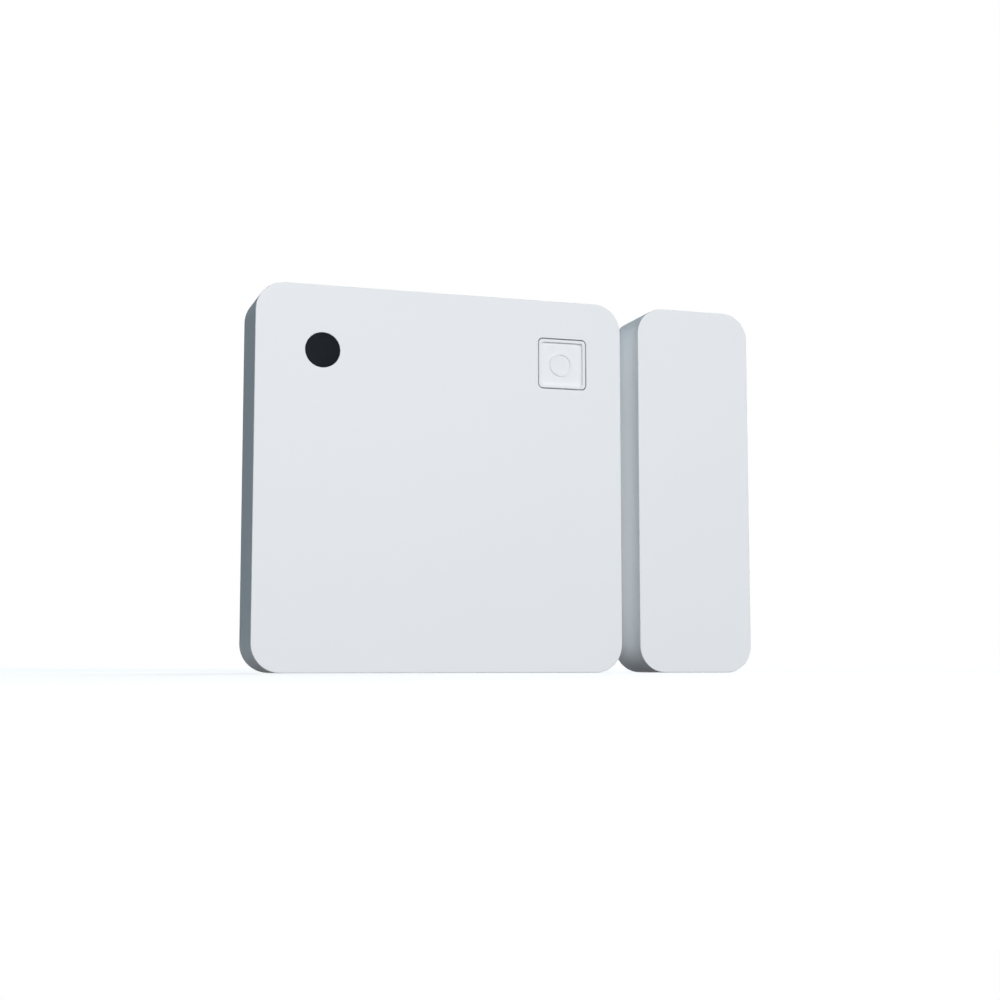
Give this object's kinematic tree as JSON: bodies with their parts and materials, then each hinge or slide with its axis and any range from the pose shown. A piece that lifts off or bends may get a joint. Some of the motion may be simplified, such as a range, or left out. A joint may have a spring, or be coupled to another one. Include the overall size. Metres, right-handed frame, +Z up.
{
  "type": "door and window sensor",
  "caption": "Square contact sensor with a corner button and a dark window, beside a narrow magnet unit, both on foam pads.",
  "frame": {"origin": "middle of the face where the sensor unit's foam pad meets the door frame", "axes": "+X to the right from the sensor unit to the magnet unit, +Y into the door frame, +Z up"},
  "size_m": [0.0498, 0.0076, 0.036],
  "materials": {
    "housing": "satin",
    "cover_plastic": "matte",
    "button_plastic": "satin",
    "smoked_lens": "gloss",
    "foam": "matte",
    "board": "satin",
    "chip_case": "matte",
    "can_metal": "satin",
    "ceramic_part": "matte",
    "led_case": "satin",
    "black_rubber": "matte",
    "black_plastic": "matte",
    "spring_steel": "satin",
    "tinned": "satin",
    "reed_glass": "gloss",
    "reed_metal": "satin",
    "cell_steel": "satin",
    "cell_seal": "satin",
    "cell_inside": "matte",
    "magnet": "polished"
  },
  "bodies": {
    "base": {"back_cover": "cover_plastic", "sensor_foam_pad": "foam"},
    "sensor_unit": {"front_shell": "housing", "circuit_board": "board", "radio_chip": "chip_case", "crystal_can": "can_metal", "chip_antenna": "ceramic_part", "supply_capacitor": "ceramic_part", "capacitors": "ceramic_part", "resistors": "chip_case", "status_led": "led_case", "light_sensor": "led_case", "window_lens": "smoked_lens", "light_gasket": "black_rubber", "switch_body": "black_plastic", "switch_cover": "spring_steel", "switch_dome": "spring_steel", "switch_terminals": "tinned", "reed_glass": "reed_glass", "reed_fixed_blade": "reed_metal", "reed_lead": "reed_metal", "battery_holder": "black_plastic", "negative_contact": "spring_steel", "positive_contact": "spring_steel"},
    "coin_cell": {"cell_can": "cell_steel", "cell_gasket": "cell_seal", "cell_cap": "cell_steel", "cell_filling": "cell_inside"},
    "button": {"button_cap": "button_plastic"},
    "switch_plunger": {"switch_plunger": "black_plastic"},
    "reed_tongue": {"reed_moving_blade": "reed_metal"},
    "magnet_unit": {"magnet_shell": "housing", "magnet_back_cover": "cover_plastic", "bar_magnet": "magnet", "magnet_foam_pad": "foam"}
  },
  "joints": [
    {"name": "unit_release", "type": "slide", "parent": "base", "child": "sensor_unit", "axis": [0, -1, 0], "range_m": [0, 0.02]},
    {"name": "cell_removal", "type": "slide", "parent": "sensor_unit", "child": "coin_cell", "axis": [0, 1, 0], "range_m": [0, 0.008]},
    {"name": "button_press", "type": "slide", "parent": "sensor_unit", "child": "button", "axis": [0, 1, 0], "range_m": [0, 0.0002], "stiffness_N_per_m": 4000, "deforming": ["switch_dome"]},
    {"name": "plunger_press", "type": "slide", "parent": "sensor_unit", "child": "switch_plunger", "axis": [0, 1, 0], "range_m": [0, 0.0002], "deforming": ["switch_dome"]},
    {"name": "reed_opening", "type": "hinge", "parent": "sensor_unit", "child": "reed_tongue", "pos_m": [0.01502, -0.0032, -0.00615], "axis": [1, 0, 0], "range_deg": [0, 1]},
    {"name": "door_opening", "type": "slide", "parent": "base", "child": "magnet_unit", "axis": [1, 0, 0], "range_m": [0, 0.04]}
  ],
  "couplings": [
    {"joint": "cell_removal", "follows": "unit_release", "ratio": 0.4},
    {"joint": "plunger_press", "follows": "button_press", "ratio": 1},
    {"joint": "reed_opening", "follows": "door_opening", "rad_per_m": 0.4363}
  ]
}
